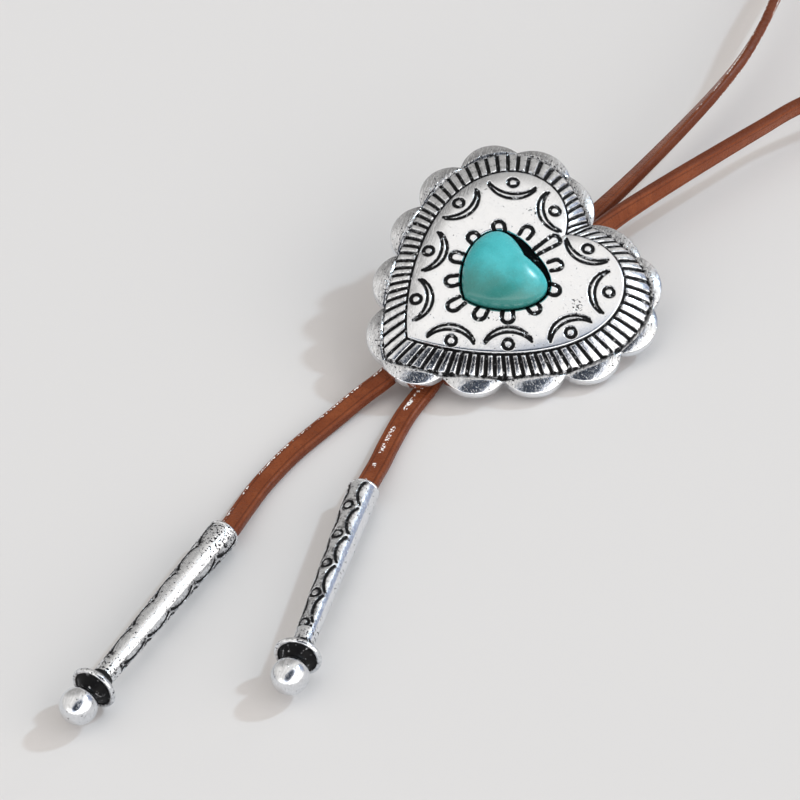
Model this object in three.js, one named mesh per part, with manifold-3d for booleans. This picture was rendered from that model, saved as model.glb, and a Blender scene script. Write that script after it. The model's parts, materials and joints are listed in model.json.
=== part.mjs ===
// Heart bolo tie: a cast silver-coloured heart slide set with a turquoise stone, worn on a flat
// leather lace whose two free ends carry long metal tips. It lies back down on a level surface,
// with the slide leaning over on one edge as the stiff lace under it holds it.
// Units are millimetres, +Z is up, and +Y points from the slide toward the back of the neck.
// The origin is the middle of the footprint of everything but the two free ends of the lace, on
// the surface that the tie lies on.
import * as THREE from 'three';
import { mergeVertices } from 'three/addons/utils/BufferGeometryUtils.js';
import Module from 'manifold-3d';

// ---- Driving dimensions -------------------------------------------------------------------

const GAP = 0.3; // clearance between pieces that meet

// Each heart outline is a mirrored half: two Bezier curves, notch to shoulder to tip.
// lead and foot are the handles at the notch and the tip, above and below those at the shoulder.
const HEARTS = {
  valleys: { notch: 21.2, lead: [8.4, 5.9], shoulder: [23.0, 8.6], above: 15.6, below: 11.8, foot: [9.5, 5.8], tip: -24.4 },
  band: { notch: 20.2, lead: [11.8, 5.8], shoulder: [22.3, 8.8], above: 12.6, below: 14.5, foot: [4.8, 1.3], tip: -23.5 },
  plateau: { notch: 15.0, lead: [6.4, 7.9], shoulder: [18.05, 7.6], above: 11.4, below: 11.6, foot: [5.9, 3.4], tip: -18.9 },
  pocket: { notch: 8.45, lead: [4.1, 0.2], shoulder: [8.15, 3.2], above: 4.2, below: 4.4, foot: [4.0, 1.2], tip: -7.1 },
  stone: { notch: 6.6, lead: [3.2, 0.8], shoulder: [7.7, 3.3], above: 5.0, below: 4.6, foot: [3.2, 0.9], tip: -6.7 },
};

const SCALLOP_RISES = [1.9, 2.45, 3.0, 3.1, 3.1, 3.1, 2.9]; // height of each edge arc, notch to tip
const SCALLOP_STEPS = 8; // points along one scallop

const SLIDE = {
  rimBottom: 3.5, // underside of the scalloped edge
  rimTop: 5.2, // upper corner of the scalloped edge
  petalTop: 6.4, // crest of each scallop's swelling
  creaseTop: 5.6, // crease between the scallops and the ribbed band
  bandTop: 6.0, // outer end of the ribbed band
  plateauTop: 8.1, // edge of the smooth raised heart
  domeTop: 8.9, // the raised heart where it meets the stone's pocket
  pocketFloor: 7.6,
  ceiling: 6.4, // inside of the hollow back
  rimWall: 1.3, // width of the flat underside of the edge
  ceilingScale: 0.9, // hollow's ceiling as a share of the raised heart
};

const STONE = { girdleTop: 9.0, crown: 12.2, rings: 6 };

// How the slide lies: leaning to one side about its own long axis, with its notch end raised, and
// the height of its clip's flat back over the surface at the middle. Angles are in degrees.
const LEAN = { side: 18.9, nose: 7.4, height: 4.9 };

const LACE = { width: 3.7, thick: 1.8, flatWidth: 2.7, flatEdge: 0.8 };
const CHANNEL_X = 2.8; // each lace channel's distance from the middle of the clip
const CLIP = { length: 12, wall: 0.8, floor: 0.9, roof: 0.8, bossRadius: 4.5, bossSides: 24 };
const LACE_IN_CLIP = CLIP.floor + GAP + LACE.thick / 2; // height of the lace's middle in a channel

// Profile of a tip from its open mouth to the far side of its ball. The flange is a thin rim with a
// dark collar between it and the ball.
const TIP = {
  mouthRadius: 2.95, mouthRound: 0.5, boreRadius: 2.45, boreDepth: 8,
  tubeLength: 37.6, neckRadius: 1.9,
  flangeRadius: 4.0, flareLength: 1.1, flangeRim: 0.8, collarRadius: 3.4, collarLength: 0.8,
  ballRadius: 3.1, ballCentre: 43.6, stemRadius: 2.2, ballSteps: 10, sides: 28,
};
const TIP_DROP = 0.5; // the lace enters the mouth this far below the tip's axis
const TIP_PITCH = Math.atan2(TIP.flangeRadius - TIP.mouthRadius, TIP.tubeLength);

// Where each tip's mouth lies and which way it points, as x, y and a heading from +X in degrees.
const TIPS = {
  left: { x: 16.0, y: -66.5, heading: -64.1 },
  right: { x: 22.4, y: -42.9, heading: -49.3 },
};

// The lace's routes beyond the clip: x, y and z of its middle, and roll in degrees about its own
// line. At roll 0 it lies flat, and a positive roll turns its upper face to the right of the way
// it runs. x and y are measured from the middle of the clip.
const CHANNEL_PLACES = [0.15, 6, 9]; // straight run of a lace from the middle of its channel
const NECK_ROUTE = [
  [-3.5, 18.0, 7.0, 0],
  [-5.9, 27.0, 7.3, -18],
  [-8.55, 36.0, 7.55, -28],
  [-11.5, 45.0, 7.75, -34],
  [-14.65, 54.0, 7.95, -40],
  [-18.1, 63.0, 8.12, -47],
  [-22.2, 72.0, 8.25, -56],
  [-27.5, 81.0, 8.3, -67],
  [-34.3, 90.5, 8.1, -77],
  [-46.0, 108.0, 7.0, -85],
  [-64.0, 137.0, 4.6, -90],
  [-79.0, 170.0, 2.5, -90],
  [-88.0, 206.0, 1.9, -90],
  [-87.0, 243.0, 1.9, -90],
  [-76.0, 277.0, 1.9, -90],
  [-55.0, 303.0, 1.9, -90],
  [-26.0, 316.0, 1.9, -90],
  [5.0, 313.0, 1.9, -90],
  [30.0, 296.0, 1.9, -90],
  [46.0, 269.0, 1.9, -90],
  [52.0, 237.0, 1.9, -90],
  [49.5, 204.0, 2.2, -90],
  [40.5, 174.0, 3.1, -92],
  [27.5, 148.0, 4.6, -95],
  [13.5, 124.0, 6.1, -99],
  [2.5, 104.0, 7.1, -103],
  [-3.6, 87.0, 7.5, -106],
  [-5.5, 72.0, 7.68, -106],
  [-4.95, 63.0, 7.77, -104],
  [-4.25, 54.0, 7.89, -99],
  [-3.45, 45.0, 8.03, -92],
  [-2.55, 36.0, 8.12, -84],
  [-1.35, 27.0, 8.18, -70],
  [0.6, 18.0, 8.0, -42],
];
const LEFT_ROUTE = [
  [-0.2, -16.5, 4.7, -10],
  [1.9, -23.8, 3.2, -5],
  [2.1, -30.0, 1.9, -2],
  [3.3, -37.5, 1.1, 0],
  [5.4, -46.3, 0.97, 0],
  [8.6, -54.5, 1.05, 0],
  [12.2, -60.6, 1.6, 0],
];
const RIGHT_ROUTE = [
  [4.8, -14.4, 2.6, -12],
  [6.9, -19.6, 1.2, -4],
  [10.1, -26.2, 1.0, 0],
  [14.2, -32.4, 1.05, 0],
  [17.5, -36.6, 1.5, 0],
];
const NECK_STEPS = 76;
const LEFT_STEPS = 12;
const RIGHT_STEPS = 10;

const SILVER = { color: 0xd9d9d6, roughness: 0.25, metalness: 1.0 };
const TURQUOISE = { color: 0x46b5b4, roughness: 0.3, metalness: 0.0 };
const LEATHER = { color: 0x7f4028, roughness: 0.45, metalness: 0.0 };

const lean = new THREE.Matrix4()
  .makeRotationFromEuler(new THREE.Euler(
    THREE.MathUtils.degToRad(LEAN.nose),
    THREE.MathUtils.degToRad(LEAN.side),
    0,
  ))
  .setPosition(0, 0, LEAN.height);

const wasm = await Module();
wasm.setup();

// ---- Helpers shared by more than one piece ------------------------------------------------

function mesh(name, geometry, finish) {
  const piece = new THREE.Mesh(geometry, new THREE.MeshStandardMaterial(finish));
  piece.name = name;
  return piece;
}

function halfHeart(heart) {
  const shoulder = new THREE.Vector2(...heart.shoulder);
  const path = new THREE.CurvePath();
  path.add(new THREE.CubicBezierCurve(
    new THREE.Vector2(0, heart.notch),
    new THREE.Vector2(heart.lead[0], heart.notch + heart.lead[1]),
    new THREE.Vector2(shoulder.x, shoulder.y + heart.above),
    shoulder,
  ));
  path.add(new THREE.CubicBezierCurve(
    shoulder,
    new THREE.Vector2(shoulder.x, shoulder.y - heart.below),
    new THREE.Vector2(heart.foot[0], heart.tip + heart.foot[1]),
    new THREE.Vector2(0, heart.tip),
  ));
  return path;
}

// Closes a half outline, given from the notch to the tip, with its mirror image. The ring runs
// anticlockwise seen from above: notch, left shoulder, tip, right shoulder.
function mirrored(half) {
  const left = half.slice(0, -1).map((p) => new THREE.Vector2(-p.x, p.y));
  const right = half.slice(1).reverse();
  return [...left, ...right];
}

function heartRing(heart, perSide) {
  return mirrored(halfHeart(heart).getSpacedPoints(perSide));
}

const atHeight = (ring, z) => ring.map((p) => new THREE.Vector3(p.x, p.y, z));
const scaled = (ring, k) => ring.map((p) => p.clone().multiplyScalar(k));
const between = (a, b, t) => a.map((p, i) => p.clone().lerp(b[i], t));

// A closed body through rings of equal count. Each ring joins the next by quads, and the first
// and the last are closed by a fan about their own middle.
function ringBody(rings) {
  const count = rings[0].length;
  const points = rings.flat();
  const faces = [];
  for (let r = 0; r < rings.length - 1; r += 1) {
    for (let i = 0; i < count; i += 1) {
      const a = r * count + i;
      const b = r * count + ((i + 1) % count);
      faces.push(a, b, b + count, a, b + count, a + count);
    }
  }
  const ends = [{ start: 0, turn: 1 }, { start: (rings.length - 1) * count, turn: -1 }];
  for (const { start, turn } of ends) {
    const hub = points.length;
    const ring = points.slice(start, start + count);
    points.push(ring.reduce((sum, p) => sum.add(p), new THREE.Vector3()).divideScalar(count));
    for (let i = 0; i < count; i += 1) {
      const a = start + i;
      const b = start + ((i + 1) % count);
      faces.push(...(turn > 0 ? [hub, b, a] : [hub, a, b]));
    }
  }
  const geometry = new THREE.BufferGeometry().setFromPoints(points);
  geometry.setIndex(faces);
  geometry.computeVertexNormals();
  return geometry;
}

function solid(geometry) {
  const bare = geometry.clone();
  bare.deleteAttribute('normal');
  bare.deleteAttribute('uv');
  const merged = mergeVertices(bare, 1e-4);
  return new wasm.Manifold(new wasm.Mesh({
    numProp: 3,
    vertProperties: new Float32Array(merged.attributes.position.array),
    triVerts: new Uint32Array(merged.index.array),
  }));
}

function geometryOf(body) {
  const { vertProperties, triVerts } = body.getMesh();
  const geometry = new THREE.BufferGeometry();
  geometry.setAttribute('position', new THREE.BufferAttribute(vertProperties, 3));
  geometry.setIndex(new THREE.BufferAttribute(triVerts, 1));
  return geometry;
}

// ---- Heart slide: one casting with a scalloped edge, ribbed band, raised heart and hollow back

// An edge of circular arcs, each standing on the chord between two valleys of the valley heart.
function scallopRing(share) {
  const valleys = halfHeart(HEARTS.valleys).getSpacedPoints(SCALLOP_RISES.length);
  const half = [];
  SCALLOP_RISES.forEach((rise, i) => {
    const start = valleys[i];
    const chord = valleys[i + 1].clone().sub(start);
    const out = new THREE.Vector2(-chord.y, chord.x).normalize();
    const radius = (chord.length() ** 2 / 4 + rise ** 2) / (2 * rise);
    for (let k = 0; k < SCALLOP_STEPS; k += 1) {
      const along = k / SCALLOP_STEPS;
      const run = (along - 0.5) * chord.length();
      const lift = Math.sqrt(radius ** 2 - run ** 2) - (radius - rise);
      half.push(start.clone().addScaledVector(chord, along).addScaledVector(out, lift * share));
    }
  });
  half.push(valleys[SCALLOP_RISES.length]);
  return mirrored(half);
}

function slideGeometry() {
  const perSide = SCALLOP_RISES.length * SCALLOP_STEPS;
  const edge = scallopRing(1);
  const valleys = scallopRing(0);
  const band = heartRing(HEARTS.band, perSide);
  const plateau = heartRing(HEARTS.plateau, perSide);
  const pocket = heartRing(HEARTS.pocket, perSide);
  const insideEdge = between(band, plateau, SLIDE.rimWall / 5);
  return ringBody([
    atHeight(scaled(plateau, SLIDE.ceilingScale), SLIDE.ceiling),
    atHeight(insideEdge, SLIDE.rimBottom),
    atHeight(edge, SLIDE.rimBottom),
    atHeight(edge, SLIDE.rimTop),
    atHeight(scallopRing(0.5), SLIDE.petalTop),
    atHeight(between(valleys, band, 0.5), SLIDE.creaseTop),
    atHeight(between(band, plateau, 0.04), SLIDE.bandTop),
    atHeight(between(band, plateau, 0.94), SLIDE.plateauTop - 0.25),
    atHeight(plateau, SLIDE.plateauTop),
    atHeight(between(plateau, pocket, 0.5), (SLIDE.plateauTop + 2 * SLIDE.domeTop) / 3),
    atHeight(pocket, SLIDE.domeTop),
    atHeight(pocket, SLIDE.pocketFloor),
  ]);
}

// ---- Stone: a domed heart cabochon that stands in the slide's pocket

function stoneGeometry() {
  const outline = heartRing(HEARTS.stone, 20);
  const bottom = SLIDE.pocketFloor + GAP;
  const rings = [atHeight(outline, bottom), atHeight(outline, STONE.girdleTop)];
  for (let k = 1; k < STONE.rings; k += 1) {
    const angle = (k / STONE.rings) * (Math.PI / 2);
    const height = STONE.girdleTop + (STONE.crown - STONE.girdleTop) * Math.sin(angle);
    rings.push(atHeight(scaled(outline, Math.cos(angle) ** 0.8), height));
  }
  return ringBody(rings);
}

// ---- Back clip: a plain block with two channels for the lace and a boss up to the slide

function boxBetween(low, high) {
  const size = high.map((value, i) => value - low[i]);
  const box = new THREE.BoxGeometry(...size);
  return box.translate(...low.map((value, i) => value + size[i] / 2));
}

function clipGeometry() {
  const channelHalf = LACE.width / 2 + GAP;
  const halfWidth = CHANNEL_X + channelHalf + CLIP.wall;
  const roofBottom = CLIP.floor + LACE.thick + 2 * GAP;
  const top = roofBottom + CLIP.roof;
  const end = CLIP.length / 2;
  let block = solid(boxBetween([-halfWidth, -end, 0], [halfWidth, end, top]));
  for (const x of [-CHANNEL_X, CHANNEL_X]) {
    const low = [x - channelHalf, -end - 1, CLIP.floor];
    const high = [x + channelHalf, end + 1, roofBottom];
    block = block.subtract(solid(boxBetween(low, high)));
  }
  const bossTop = SLIDE.ceiling - GAP;
  const bossBottom = top - CLIP.roof / 2;
  const boss = new THREE.CylinderGeometry(
    CLIP.bossRadius, CLIP.bossRadius, bossTop - bossBottom, CLIP.bossSides,
  );
  boss.rotateX(Math.PI / 2).translate(0, 0, (bossTop + bossBottom) / 2);
  return geometryOf(block.add(solid(boss)));
}

// ---- Lace: flat leather with rounded edges, in a neck loop and two free ends

// A smooth route whose frame keeps the lace at a chosen roll from flat, rather than free to spin.
class LaceRoute extends THREE.CatmullRomCurve3 {
  constructor(rows) {
    super(rows.map(([x, y, z]) => new THREE.Vector3(x, y, z)), false, 'centripetal');
    this.rolls = rows.map((row) => THREE.MathUtils.degToRad(row[3]));
  }

  rollAt(share) {
    const place = this.getUtoTmapping(share) * (this.rolls.length - 1);
    const row = Math.min(Math.floor(place), this.rolls.length - 2);
    return THREE.MathUtils.lerp(this.rolls[row], this.rolls[row + 1], place - row);
  }

  computeFrenetFrames(steps) {
    const frames = { tangents: [], normals: [], binormals: [] };
    for (let i = 0; i <= steps; i += 1) {
      const tangent = this.getTangentAt(i / steps);
      const right = new THREE.Vector3(tangent.y, -tangent.x, 0).normalize();
      const roll = this.rollAt(i / steps);
      right.applyAxisAngle(tangent, roll);
      frames.tangents.push(tangent);
      frames.normals.push(right);
      frames.binormals.push(tangent.clone().cross(right));
    }
    return frames;
  }
}

function laceGeometry(rows, steps) {
  const [w, t] = [LACE.width / 2, LACE.thick / 2];
  const [fw, ft] = [LACE.flatWidth / 2, LACE.flatEdge / 2];
  const section = new THREE.Shape();
  section.moveTo(w, -ft).lineTo(w, ft).lineTo(fw, t).lineTo(-fw, t);
  section.lineTo(-w, ft).lineTo(-w, -ft).lineTo(-fw, -t).lineTo(fw, -t);
  const extrudePath = new LaceRoute(rows);
  return new THREE.ExtrudeGeometry(section, { steps, extrudePath, bevelEnabled: false });
}

// ---- Tips: tapered tubes with a mouth for the lace, a dished flange and a ball

function tipGeometry() {
  const { mouthRadius: mouth, mouthRound: round, boreRadius: bore } = TIP;
  const rimStart = TIP.tubeLength + TIP.flareLength;
  const rimEnd = rimStart + TIP.flangeRim;
  const profile = [
    [0, TIP.boreDepth], [bore, TIP.boreDepth], [bore, 0], [mouth - round, 0], [mouth, round],
    [TIP.neckRadius, TIP.tubeLength], [TIP.flangeRadius, rimStart], [TIP.flangeRadius, rimEnd],
    [TIP.collarRadius, rimEnd], [TIP.collarRadius, rimEnd + TIP.collarLength],
  ];
  const first = Math.asin(TIP.stemRadius / TIP.ballRadius);
  for (let k = 0; k < TIP.ballSteps; k += 1) {
    const angle = first + (k / TIP.ballSteps) * (Math.PI - first);
    profile.push([TIP.ballRadius * Math.sin(angle), TIP.ballCentre - TIP.ballRadius * Math.cos(angle)]);
  }
  profile.push([0, TIP.ballCentre + TIP.ballRadius]);
  const points = profile.map(([radius, along]) => new THREE.Vector2(radius, along));
  return new THREE.LatheGeometry(points, TIP.sides);
}

function tip(name, { x, y, heading }) {
  const piece = mesh(name, tipGeometry(), SILVER);
  const turn = THREE.MathUtils.degToRad(heading);
  const level = Math.cos(TIP_PITCH);
  piece.quaternion.setFromUnitVectors(
    new THREE.Vector3(0, 1, 0),
    new THREE.Vector3(Math.cos(turn) * level, Math.sin(turn) * level, Math.sin(TIP_PITCH)),
  );
  piece.position.set(x, y, TIP.mouthRadius);
  return piece;
}

// The straight run of a lace in one channel, from the middle of the clip toward end +1 or -1.
function inChannel(x, end) {
  return CHANNEL_PLACES.map((place) => {
    const middle = new THREE.Vector3(x, end * place, LACE_IN_CLIP).applyMatrix4(lean);
    return [...middle.toArray(), end * LEAN.side];
  });
}

// The free end of a lace runs on into its tip's bore and stops short of the bore's end.
function intoTip(route, { x, y, heading }) {
  const turn = THREE.MathUtils.degToRad(heading);
  const rows = [-1, TIP.boreDepth - 3 * GAP].map((along) => [
    x + Math.cos(turn) * along,
    y + Math.sin(turn) * along,
    TIP.mouthRadius - TIP_DROP + Math.sin(TIP_PITCH) * along,
    0,
  ]);
  return [...route, ...rows];
}

// ---- Assembly -----------------------------------------------------------------------------

const slide = new THREE.Group();
slide.add(
  mesh('concho', slideGeometry(), SILVER),
  mesh('turquoise', stoneGeometry(), TURQUOISE),
  mesh('slide_clip', clipGeometry(), SILVER),
);
slide.applyMatrix4(lean);

const neckRoute = [
  ...inChannel(-CHANNEL_X, 1),
  ...NECK_ROUTE,
  ...inChannel(CHANNEL_X, 1).reverse().map(([x, y, z, roll]) => [x, y, z, -roll]),
];
const leftRoute = intoTip([...inChannel(-CHANNEL_X, -1), ...LEFT_ROUTE], TIPS.left);
const rightRoute = intoTip([...inChannel(CHANNEL_X, -1), ...RIGHT_ROUTE], TIPS.right);

const body = new THREE.Group();
body.add(
  slide,
  mesh('neck_lace', laceGeometry(neckRoute, NECK_STEPS), LEATHER),
  tip('tip_left', TIPS.left),
  tip('tip_right', TIPS.right),
);
const footprint = new THREE.Box3().setFromObject(body, true);

const tie = new THREE.Group();
tie.add(
  body,
  mesh('tail_left', laceGeometry(leftRoute, LEFT_STEPS), LEATHER),
  mesh('tail_right', laceGeometry(rightRoute, RIGHT_STEPS), LEATHER),
);
const middle = footprint.getCenter(new THREE.Vector3());
tie.position.set(-middle.x, -middle.y, -footprint.min.z);

export default tie;
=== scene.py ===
import json

import bpy
import numpy as np
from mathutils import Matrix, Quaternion, Vector


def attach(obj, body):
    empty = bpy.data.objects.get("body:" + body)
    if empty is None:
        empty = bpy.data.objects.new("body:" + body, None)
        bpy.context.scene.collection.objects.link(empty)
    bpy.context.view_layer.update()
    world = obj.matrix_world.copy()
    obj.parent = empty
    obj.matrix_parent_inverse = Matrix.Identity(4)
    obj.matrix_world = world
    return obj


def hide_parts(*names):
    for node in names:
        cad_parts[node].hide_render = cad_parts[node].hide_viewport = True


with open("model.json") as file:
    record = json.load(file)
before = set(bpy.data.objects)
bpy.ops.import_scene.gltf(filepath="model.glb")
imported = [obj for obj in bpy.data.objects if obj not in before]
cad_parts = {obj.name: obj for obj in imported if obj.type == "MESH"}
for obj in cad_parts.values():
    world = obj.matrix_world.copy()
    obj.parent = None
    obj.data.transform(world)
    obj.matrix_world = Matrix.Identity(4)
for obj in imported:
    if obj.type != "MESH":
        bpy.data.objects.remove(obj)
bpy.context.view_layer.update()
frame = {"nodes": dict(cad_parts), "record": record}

# ---- The view ------------------------------------------------------------------------------
# A plain pale table top in a bright, soft room, with one soft lamp that throws short shadows.
# The places are given from the table under the middle of the heart's back clip.

MM = 0.001
clip_back = next(m for m in frame["record"]["mounts"] if m["name"] == "clip_back")
SEAT = np.array(clip_back["pos_m"]) / MM  # the middle of the clip's flat back
SEAT_HEIGHT = 4.9  # over the table
FOOT = SEAT - (0, 0, SEAT_HEIGHT)

EYE = np.array([399.9, -248.59, 421.13])
LOOK_AT = np.array([5.35, -24.29, 0.0])
CAMERA_ROLL = np.radians(-6.84)
LENS = 162.0
LAMP_FROM = (0.136, 0.765, 0.63)
LAMP = {"energy": 0.87, "spread": np.radians(3.6), "colour": (0.68, 0.87, 1.0)}

TABLE_WIDTH = 40.0  # metres
TABLE_COLOUR = (0.752, 0.735, 0.732, 1)


def node(tree, kind, inputs=None, **settings):
    """Adds a shader node, makes its settings, and links or sets each of its inputs."""
    made = tree.nodes.new("ShaderNode" + kind)
    for name, value in settings.items():
        setattr(made, name, value)
    for key, value in (inputs or {}).items():
        if isinstance(value, bpy.types.NodeSocket):
            tree.links.new(value, made.inputs[key])
        else:
            made.inputs[key].default_value = value
    return made


def step(tree, value, low, high, bottom=0.0, top=1.0):
    """A number that goes smoothly from bottom to top as value goes from low to high."""
    ends = {"Value": value, "From Min": low, "From Max": high, "To Min": bottom, "To Max": top}
    made = node(tree, "MapRange", ends, interpolation_type="SMOOTHSTEP")
    return made.outputs["Result"]


def calc(tree, operation, a, b=0.0):
    """One sum on two numbers."""
    return node(tree, "Math", {0: a, 1: b}, operation=operation).outputs[0]


def mix(tree, share, a, b):
    """Colour a, going over to colour b by share."""
    return node(tree, "Mix", {0: share, 6: a, 7: b}, data_type="RGBA").outputs[2]


camera = bpy.data.objects.new("camera", bpy.data.cameras.new("camera"))
bpy.context.scene.collection.objects.link(camera)
camera.data.lens = LENS
camera.data.sensor_width = 36.0
camera.data.clip_end = 100.0
camera.location = (FOOT + EYE) * MM
gaze = Vector(LOOK_AT - EYE).to_track_quat("-Z", "Y")
camera.rotation_euler = (gaze @ Quaternion((0, 0, 1), CAMERA_ROLL)).to_euler()
bpy.context.scene.camera = camera
bpy.context.scene.view_settings.view_transform = "Standard"

lamp = bpy.data.objects.new("lamp", bpy.data.lights.new("lamp", "SUN"))
bpy.context.scene.collection.objects.link(lamp)
lamp.data.energy = LAMP["energy"]
lamp.data.angle = LAMP["spread"]
lamp.data.color = LAMP["colour"]
lamp.rotation_euler = Vector(LAMP_FROM).to_track_quat("Z", "Y").to_euler()


def room():
    """The room's brightness by direction: pale all round, palest overhead and low down on the
    near side, with a lamp's glow on the right; dim on the left, blue-grey low down at the back,
    and dark where somebody leans over the table."""
    world = bpy.data.worlds.new("room")
    world.use_nodes = True
    tree = world.node_tree
    tree.nodes.clear()
    direction = node(tree, "TexCoord").outputs["Generated"]

    def toward(way):
        """How nearly the light comes from there: the cosine of the angle to it."""
        unit = Vector(way).normalized()
        turned = node(tree, "VectorMath", {0: direction, 1: unit}, operation="DOT_PRODUCT")
        return turned.outputs["Value"]

    height = toward((0, 0, 1))
    light = step(tree, height, -0.1, 0.85, 0.78, 1.0)
    near = step(tree, toward((0.62, -0.55, 0.1)), 0.3, 0.95, 0.0, 1.4)
    low = step(tree, height, 0.25, 0.45, 1.0, 0.0)
    glow = step(tree, toward((0.9, 0.35, 0.35)), 0.5, 0.97, 0.0, 1.0)
    light = calc(tree, "ADD", light, calc(tree, "MULTIPLY", near, low))
    light = calc(tree, "ADD", light, glow)
    left = step(tree, toward((-0.75, 0.3, 0.45)), 0.66, 0.95, 1.0, 0.5)
    light = calc(tree, "MULTIPLY", light, left)
    to_eye = Vector(EYE - LOOK_AT).normalized()
    right = -to_eye.cross((0, 0, 1)).normalized()
    above = (to_eye + 0.1 * to_eye.cross(right)).normalized()
    leaning = (right + above.cross(right)).normalized()
    wide = calc(tree, "DIVIDE", toward(leaning), 0.72)
    high = calc(tree, "DIVIDE", toward(leaning.cross(above)), 0.33)
    off = calc(tree, "SQRT", calc(tree, "ADD", calc(tree, "POWER", wide, 2.0),
                                  calc(tree, "POWER", high, 2.0)))
    behind = step(tree, toward(above), 0.0, 0.1, 2.0, 0.0)
    person = step(tree, calc(tree, "ADD", off, behind), 0.75, 1.15, 0.06, 1.0)
    light = calc(tree, "MULTIPLY", light, person)
    blue = step(tree, toward((0.08, 0.95, 0.28)), 0.93, 0.985)
    colour = mix(tree, blue, (1.0, 0.965, 0.92, 1), (0.42, 0.47, 0.62, 1))
    colour = mix(tree, person, (0.75, 0.92, 1.25, 1), colour)
    back = node(tree, "Background", {"Color": colour, "Strength": light})
    node(tree, "OutputWorld", {"Surface": back.outputs[0]})
    return world


bpy.context.scene.world = room()


def new_material(name):
    """An empty material and its node tree."""
    material = bpy.data.materials.new(name)
    material.use_nodes = True
    material.node_tree.nodes.clear()
    return material, material.node_tree


def table_top():
    """A square of smooth pale board, level with the lowest point of the tie."""
    half = TABLE_WIDTH / 2
    corners = [(-half, -half, 0), (half, -half, 0), (half, half, 0), (-half, half, 0)]
    mesh = bpy.data.meshes.new("table_top")
    mesh.from_pydata(corners, [], [(0, 1, 2, 3)])
    material, tree = new_material("pale_board")
    paint = {"Base Color": TABLE_COLOUR, "Roughness": 0.8, "Specular IOR Level": 0.1}
    shader = node(tree, "BsdfPrincipled", paint)
    node(tree, "OutputMaterial", {"Surface": shader.outputs[0]})
    mesh.materials.append(material)
    table = bpy.data.objects.new("table_top", mesh)
    bpy.context.scene.collection.objects.link(table)


table_top()

# ---- The tips ------------------------------------------------------------------------------
# Two turned and stamped tubes in antique silver plate that taper from an open mouth, where the
# lace is glued in, to a flange with a blackened collar and a ball. Rows of curved stamps run
# along each tube, back to back, with a small ring at every joint.

TIP = {
    "mouth": 2.75, "lip": 0.45, "bore": 2.4, "bore_depth": 8.0, "neck": 1.75, "tube": 37.6,
    "flange": 3.95, "flare": 1.1, "rim": 0.9, "collar": 3.1, "waist": 2.0, "ball": 3.1,
    "ball_at": 43.6,
}
MOUTH_HEIGHT, FLANGE_HEIGHT = 2.95, 4.0  # of a tip's axis over the table that it rests on
# Each mouth's middle, the way that the tip points, how far its stamps are turned round, where
# along it the pits crowd and how pitted it is elsewhere.
TIP_PLACES = {
    "left": {"mouth": (16.0, -66.5, MOUTH_HEIGHT), "heading": -64.1, "turn": -28.0,
             "pits": 3.0, "pitting": 1.05},
    "right": {"mouth": (22.4, -42.9, MOUTH_HEIGHT), "heading": -49.3, "turn": -71.0,
              "pits": -4.0, "pitting": 0.85},
}
TIP_PITCH = np.arctan2(FLANGE_HEIGHT - MOUTH_HEIGHT, TIP["tube"])
TIP_REPEAT = 6.75  # from one joint of the stamps to the next
TIP_JOINTS = 6.3 + TIP_REPEAT * np.arange(5)
# The row's places round the tube in degrees, then the sizes of its stamps.
TIP_ROW = {"ring": 90.0, "ends": 43.0, "bulge": 22.0, "chord": 5.8, "ring_radius": 0.86}
TIP_STROKE = {"wide": 0.56, "deep": 0.16}
TIP_COLUMNS = 160


def in_millimetres(tree):
    """The place on the piece, in millimetres."""
    place = node(tree, "TexCoord").outputs["Object"]
    return node(tree, "Mapping", {"Vector": place, "Scale": (1000, 1000, 1000)}).outputs[0]


def noise(tree, place, scale, detail, roughness=0.5):
    """Clouds from 0 to 1, so many to the millimetre, with finer clouds laid over them."""
    inputs = {"Vector": place, "Scale": scale, "Detail": detail, "Roughness": roughness}
    return node(tree, "TexNoise", inputs).outputs["Fac"]


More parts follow.
